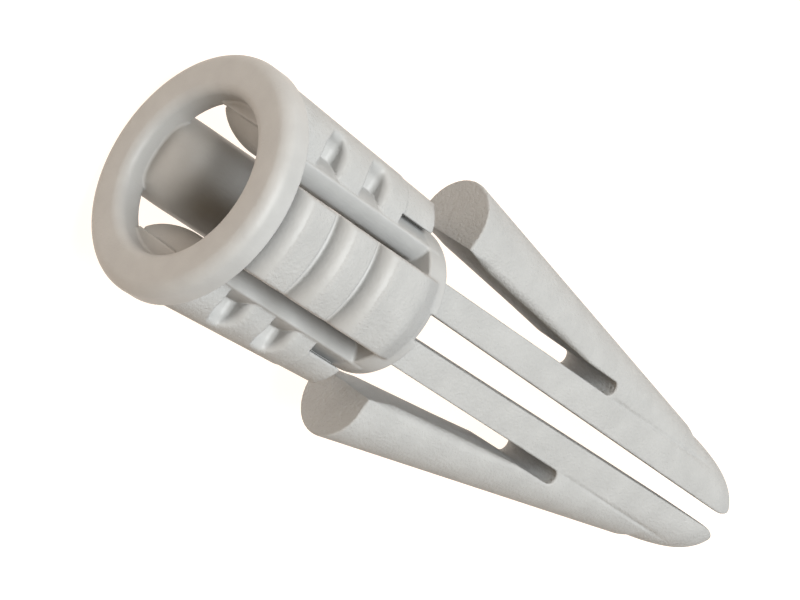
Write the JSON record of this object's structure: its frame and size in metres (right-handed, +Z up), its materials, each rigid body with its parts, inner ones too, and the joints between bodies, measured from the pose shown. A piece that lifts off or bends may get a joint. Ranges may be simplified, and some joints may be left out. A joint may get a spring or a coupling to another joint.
{
  "type": "plasterboard wall anchor",
  "caption": "Moulded nylon plasterboard plug: collar, ridged four-stave barrel and two legs with spring wings.",
  "frame": {"origin": "centre of the collar's front face, which ends up level with the face of the wall", "axes": "+Y along the plug into the wall, +X to the right seen from the room, +Z up; the mould's parting plane is z = 0 and the legs and wings move in it"},
  "size_m": [0.0126, 0.0382, 0.0104],
  "materials": {
    "nylon_textured": "fine spark-eroded texture, matt, light cool grey nylon",
    "nylon_smooth": "smooth satin, light cool grey nylon"
  },
  "bodies": {
    "barrel": {"collar": "nylon_textured", "barrel_end": "nylon_smooth", "top_stave": "nylon_textured", "bottom_stave": "nylon_textured", "right_stave": "nylon_textured", "left_stave": "nylon_textured"},
    "right_leg": {"right_leg": "nylon_smooth", "right_tip": "nylon_smooth"},
    "left_leg": {"left_leg": "nylon_smooth", "left_tip": "nylon_smooth"},
    "right_wing": {"right_wing": "nylon_textured"},
    "left_wing": {"left_wing": "nylon_textured"}
  },
  "joints": [
    {"name": "right_leg_spread", "type": "hinge", "parent": "barrel", "child": "right_leg", "pos_m": [0.00134, 0.0124, 0], "axis": [0, 0, -1], "range_deg": [-0.5, 8], "stiffness_Nm_per_rad": 0.05},
    {"name": "left_leg_spread", "type": "hinge", "parent": "barrel", "child": "left_leg", "pos_m": [-0.00134, 0.0124, 0], "axis": [0, 0, 1], "range_deg": [-0.5, 8], "stiffness_Nm_per_rad": 0.05},
    {"name": "right_wing_fold", "type": "hinge", "parent": "right_leg", "child": "right_wing", "pos_m": [0.00352, 0.0255, 0], "axis": [0, 0, 1], "range_deg": [-7, 4], "stiffness_Nm_per_rad": 0.02},
    {"name": "left_wing_fold", "type": "hinge", "parent": "left_leg", "child": "left_wing", "pos_m": [-0.00352, 0.0255, 0], "axis": [0, 0, -1], "range_deg": [-7, 4], "stiffness_Nm_per_rad": 0.02}
  ]
}
